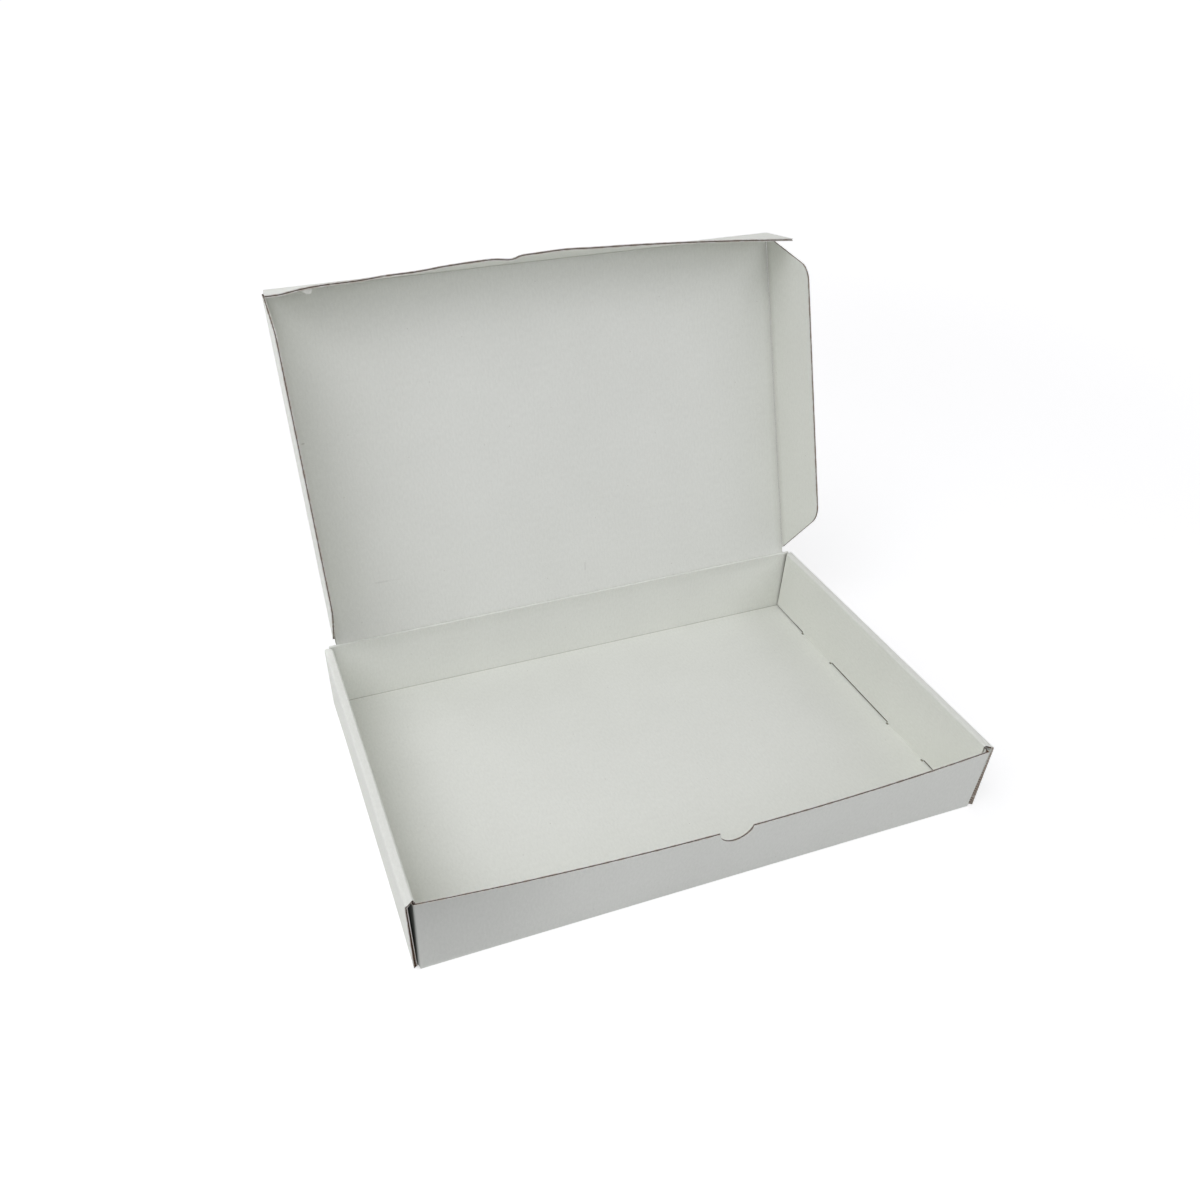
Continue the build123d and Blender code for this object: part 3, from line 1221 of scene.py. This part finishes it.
@dataclass(frozen=True)
class Dent:
    """A ripple of the tuck flap: its place along the fold, its turn in degrees, its reach to the left and the right."""

    place: float
    turn: float
    left: float
    right: float

    def at(self, x: float) -> float:
        """Turn in degrees at a place along the fold."""
        reach = self.left if x < self.place else self.right
        return self.turn * math.exp(-((x - self.place) / reach) ** 2)


@dataclass(frozen=True)
class Nick:
    """A small tear in the tuck flap's free edge: its place along the fold, its depth and its reach."""

    place: float
    deep: float
    reach: float

    def at(self, x: float) -> float:
        """Depth of the tear at a place along the fold."""
        return self.deep * max(0.0, 1 - abs(x - self.place) / self.reach)


@dataclass(frozen=True)
class Flake:
    """A torn scrap of liner: its place along the edge, its sizes, and how it narrows, drifts aside and curls."""

    place: float = -138.3 * MM
    width: float = 6.0 * MM
    length: float = 2.7 * MM
    thick: float = 0.3 * MM
    taper: float = 0.7
    drift: float = 0.16
    curl: float = 0.25
    shade: float = 0.3
    columns: int = 4
    rows: int = 3


@dataclass
class Lid:
    """Open lid with its ears and its bowed tuck flap, each on its own body."""

    board: float = 1.4 * MM
    roll_bulge: float = 0.1 * MM
    ear_relief: float = 0.6 * MM
    tuck_relief: float = 0.4 * MM
    overlap: float = 0.2 * MM
    ear_width: float = 43.8 * MM
    ear_start: float = 3.0 * MM
    ear_end_gap: float = 1.2 * MM
    ear_end_angle: float = 30.0
    ear_corner_radius: float = 12.0 * MM
    left_ear_angle: float = 88.8
    right_ear_angle: float = 89.0
    tuck_depth: float = 32.5 * MM
    tuck_side_gap: float = 0.5 * MM
    tuck_left_flare: float = 2.2 * MM
    tuck_right_taper: float = 0.4 * MM
    tuck_middle_angle: float = 90.3
    tuck_left_angle: float = 101.0
    tuck_right_angle: float = 105.5
    tuck_curl_power: float = 1.6
    tuck_columns: int = 150
    tuck_rows: int = 6
    panel_columns: int = 12
    panel_rows: int = 10
    ear_columns: int = 4
    ear_rows: int = 14
    nose_segments: int = 4
    crease_reach: float = 0.55 * MM
    shade_reach: float = 6.0 * MM
    fold_shade: float = 0.12
    left_shade: float = 0.10
    left_shade_start: float = 0.3
    sheet_start: float = 153.2 * MM
    lip: float = 0.46 * MM
    groove_depth: float = 0.6 * MM
    dents: tuple = (
        Dent(-153 * MM, 0.9, 6 * MM, 6 * MM), Dent(-133 * MM, -0.9, 14 * MM, 14 * MM),
        Dent(-109 * MM, 0.55, 10 * MM, 10 * MM), Dent(-78 * MM, 1.0, 12 * MM, 12 * MM),
        Dent(-22 * MM, 2.6, 8 * MM, 3.5 * MM), Dent(10 * MM, -0.85, 12 * MM, 12 * MM),
    )
    nicks: tuple = (Nick(-97.5 * MM, 0.9 * MM, 1.6 * MM), Nick(6.0 * MM, 0.8 * MM, 1.3 * MM))
    nick_start: float = 0.8
    flake: Flake = Flake()

    def __post_init__(self) -> None:
        """Takes the folds' places from the joints."""
        self.half = self.board / 2
        self.roll = self.half + self.roll_bulge
        hinge, tuck = joint_place("lid_hinge"), joint_place("tuck_fold")
        self.length = (tuck - hinge).length
        self.half_width = joint_place("right_ear_fold").x
        up = (tuck - hinge).normalized()
        across = Vector((1.0, 0.0, 0.0))
        self.place = Matrix((across, up, across.cross(up))).transposed().to_4x4()
        self.place.translation = hinge

    def build(self) -> list[bpy.types.Object]:
        """Models the lid and what hangs on it.

        Returns:
            The finished pieces.
        """
        return [self._panel(), self._ear(Side.LEFT), self._ear(Side.RIGHT), self._tuck_flap()]

    def _panel(self) -> bpy.types.Object:
        """Models the lid's panel, rounded at the hinge and relieved at the other folds.

        Returns:
            The finished panel.
        """
        side = self.half_width - self.roll + self.overlap
        top = self.length - self.roll + self.overlap
        card = Card("lid_panel", (-side, -self.half), (side, top))
        card.score(0, both(side - self.crease_reach, side - self.shade_reach) + spaced(-side, side, self.panel_columns))
        card.score(1, [self.crease_reach, top - self.crease_reach] + spaced(0, top, self.panel_rows))
        card.thicken(self.board)
        self._nose(card, 1, -self.half)
        card.round_edges(lambda p: p.z > self.half - NEAR and abs(abs(p.x) - side) < NEAR, self.ear_relief, 1)
        card.round_edges(lambda p: p.z > self.half - NEAR and abs(p.y - top) < NEAR, self.tuck_relief, 1)
        card.whiten(anywhere)
        # Painted shade beside the ears' folds and, faint, over the panel's left part.
        card.map_sheet(lambda p: (p.x, p.y + self.sheet_start), lambda p: self._shade(side - abs(p.x))
                       + self.left_shade * smooth(self.left_shade_start, 1.0, -p.x / side) if p.z > 0 else 0.0)
        return card.finish(self.place, "lid", "lid")

    def _shade(self, distance: float) -> float:
        """Painted shade on the paper beside an ear's fold.

        Args:
            distance: Distance from the fold.

        Returns:
            Amount of painted shade: full at the fold, faint beside it, none further off.
        """
        deep = 1.0 - smooth(0.0, self.crease_reach, distance)
        faint = 1.0 - smooth(0.0, self.shade_reach, distance)
        return max(deep, self.fold_shade * faint)

    def _nose(self, card: Card, axis: int, place: float) -> None:
        """Rounds the edge of a panel that is one side of a fold.

        Args:
            card: The panel, with its thickness.
            axis: Axis that the edge is square to.
            place: Where the edge is on that axis.
        """
        card.round_edges(lambda p: abs(p[axis] - place) < NEAR and abs(abs(p.z) - self.half) < NEAR,
                         self.half - NEAR, self.nose_segments)
        card.whiten(lambda p: abs(p[axis] - place) < self.half)

    def _ear(self, side: Side) -> bpy.types.Object:
        """Models one ear, slanted at both ends, with round corners.

        Args:
            side: Which ear.

        Returns:
            The finished ear.
        """
        sign = side.value
        angle = self.left_ear_angle if side is Side.LEFT else self.right_ear_angle
        low, high = self.ear_start, self.length - self.ear_end_gap
        slant = self.ear_width * math.tan(math.radians(self.ear_end_angle))
        ends = sorted((0.0, sign * self.ear_width))
        card = Card(f"{side.name.lower()}_ear_card", (ends[0], low), (ends[1], high))
        free = on_plane(0, sign * self.ear_width)
        for edge, move in ((low, slant), (high, -slant)):
            card.pick_verts(lambda p: free(p) and abs(p.y - edge) < NEAR)
            card.shift((0, move, 0))
        setback = self.ear_corner_radius * math.tan(math.radians(90 - self.ear_end_angle) / 2)
        card.round_corners(free, setback)
        columns = [self.crease_reach, self.shade_reach] + spaced(0, self.ear_width, self.ear_columns)
        card.score(0, [sign * place for place in columns])
        card.score(1, spaced(low, high, self.ear_rows))
        card.thicken(self.board)
        self._nose(card, 0, 0.0)
        card.groove(self.board, self.lip, self.groove_depth)
        # Painted shade beside the fold.
        card.map_sheet(lambda p: (p.x + sign * self.half_width, p.y + self.sheet_start),
                       lambda p: self._shade(abs(p.x)) if p.z > 0 else 0.0)
        turn = Matrix.Rotation(-sign * math.radians(angle), 4, "Y")
        place = self.place @ Matrix.Translation((sign * self.half_width, 0.0, 0.0)) @ turn
        body = f"{side.name.lower()}_ear"
        return card.finish(place, body, body)

    def tuck_angle(self, x: float, half: float) -> float:
        """Fold of the bowed tuck flap.

        Args:
            x: Place along the fold.
            half: Half the fold's length.

        Returns:
            Angle from the lid's plane, in radians.
        """
        end = self.tuck_left_angle if x < 0 else self.tuck_right_angle
        bow = min(abs(x / half), 1.0) ** self.tuck_curl_power
        return math.radians(self.tuck_middle_angle + (end - self.tuck_middle_angle) * bow)

    def _tuck_flap(self) -> bpy.types.Object:
        """Models the tuck flap flat, then folds it in with its bow.

        Returns:
            The finished flap.
        """
        half = self.half_width - self.tuck_side_gap
        card = Card("tuck_flap_card", (-half, 0.0), (half, self.tuck_depth))
        card.score(0, spaced(-half, half, self.tuck_columns))
        card.score(1, spaced(0, self.tuck_depth, self.tuck_rows))
        card.thicken(self.board)
        self._nose(card, 1, 0.0)
        card.groove(self.board, self.lip, self.groove_depth)
        card.hang_flake(self.flake, (self.flake.place, self.tuck_depth - self.half, self.half / 2))
        card.map_sheet(lambda p: (p.x, p.y + self.length + self.sheet_start),
                       lambda p: self.flake.shade if p.z > self.half + NEAR else 0.0)

        def fold(p: Vector) -> Vector:
            """Folds a point of the flat flap.

            Args:
                p: Place on the flat flap.

            Returns:
                Place on the bowed, dented and nicked one.
            """
            share = p.y / self.tuck_depth
            ripple = sum(dent.at(p.x) for dent in self.dents) * share
            angle = self.tuck_angle(p.x, half) + math.radians(ripple)
            x = p.x + (self.tuck_left_flare if p.x < 0 else -self.tuck_right_taper) * p.x / half * share
            torn = sum(nick.at(p.x) for nick in self.nicks)
            run, out = p.y - torn * smooth(self.nick_start, 1.0, share), p.z
            return Vector((x, self.length + run * math.cos(angle) - out * math.sin(angle),
                           run * math.sin(angle) + out * math.cos(angle)))

        card.settle(fold)
        return card.finish(self.place, "tuck_flap", "tuck_flap")


@dataclass(frozen=True)
class Lamp:
    """A large soft lamp: the way it stands from the box, its power and its tone."""

    name: str
    way: tuple
    power: float
    tone: tuple = (1.0, 1.0, 1.03)


@dataclass
class Studio:
    """Pale table, soft lamps and the camera."""

    floor_size: float = 24.0
    floor_parts: int = 4
    lens: float = 28.8415
    sensor: float = 36.0
    camera_place: tuple = (-0.20532, -0.38553, 0.41940)
    camera_turn: tuple = (49.146, 0.306, -19.202)
    camera_shift: tuple = (0.06444, 0.07945)
    camera_clip: tuple = (0.01, 50.0)
    world_tone: tuple = (1.0, 0.975, 0.885, 1.0)
    world_strength: float = 0.04
    lamp_distance: float = 1.9
    lamp_size: float = 1.3
    lamps: tuple = (
        Lamp("high_left", (-0.6, 0.0, 1.0), 8.7),
        Lamp("high_left_front", (-0.5, -0.3, 1.0), 5.0),
        Lamp("left_front", (-0.8, -0.8, 0.9), 4.8),
        Lamp("right_front", (0.8, -0.8, 0.9), 7.3),
        Lamp("right", (1.0, 0.0, 0.7), 3.9),
        Lamp("back", (0.0, 1.0, 1.2), 4.8),
        Lamp("low_left_back", (-1.0, 0.8, 0.45), 10.5),
        Lamp("low_front", (0.0, -1.0, 0.35), 4.6, (0.975, 0.985, 1.09)),
    )

    def build(self) -> None:
        """Sets up the stage."""
        self._floor()
        self._world()
        self._hang_lamps()
        self._camera()
        bpy.context.scene.view_settings.view_transform = "Standard"

    def _floor(self) -> None:
        """Lays the table."""
        bpy.ops.object.select_all(action="DESELECT")
        bpy.ops.mesh.primitive_grid_add(x_subdivisions=self.floor_parts, y_subdivisions=self.floor_parts,
                                        size=self.floor_size)
        floor = bpy.context.active_object
        floor.name = "table"
        floor.data.materials.append(FloorFinish().material())

    def _world(self) -> None:
        """Soft light from all round, white to the camera."""
        world = bpy.data.worlds.new("studio")
        world.use_nodes = True
        bpy.context.scene.world = world
        graph = Graph(world.node_tree)
        seen = seen_directly(graph)
        tone = graph.mix(seen, self.world_tone, WHITE)
        level = seen * (1 - self.world_strength) + self.world_strength
        shader = graph.node("ShaderNodeBackground", None, {"Color": tone, "Strength": level})
        graph.node("ShaderNodeOutputWorld", None, {"Surface": shader})

    def _hang_lamps(self) -> None:
        """Hangs the large soft lamps round the box."""
        for lamp in self.lamps:
            data = bpy.data.lights.new(lamp.name, "AREA")
            data.size = self.lamp_size
            data.energy = lamp.power
            data.color = lamp.tone
            obj = bpy.data.objects.new(lamp.name, data)
            bpy.context.scene.collection.objects.link(obj)
            way = Vector(lamp.way).normalized()
            obj.location = way * self.lamp_distance
            obj.rotation_euler = (-way).to_track_quat("-Z", "Y").to_euler()

    def _camera(self) -> None:
        """Stands the camera where the photograph was taken."""
        data = bpy.data.cameras.new("camera")
        data.sensor_width = self.sensor
        data.lens = self.lens
        data.shift_x, data.shift_y = self.camera_shift
        data.clip_start, data.clip_end = self.camera_clip
        camera = bpy.data.objects.new("camera", data)
        bpy.context.scene.collection.objects.link(camera)
        camera.location = self.camera_place
        camera.rotation_euler = [math.radians(turn) for turn in self.camera_turn]
        bpy.context.scene.camera = camera


FINISHES = {
    Face.LINER: LinerFinish().material(),
    Face.RAW_EDGE: CutLinerFinish().material(),
    Face.FLUTING: FlutingFinish().material(),
    # Painted light: a lighter wave and lighter hollows for the cut that lies open to the light.
    Face.OPEN_FLUTING: FlutingFinish(name="open_fluting", wave_tone=(0.56, 0.475, 0.395, 1.0),
                                     hollow_shade=(0.20, 0.165, 0.135, 1.0)).material(),
}


def main() -> None:
    """Builds the box and its stage."""
    logging.basicConfig(level=logging.INFO, format="%(name)s %(message)s")
    Tray().build()
    Lid().build()
    Studio().build()


if __name__ == "__main__":
    main()
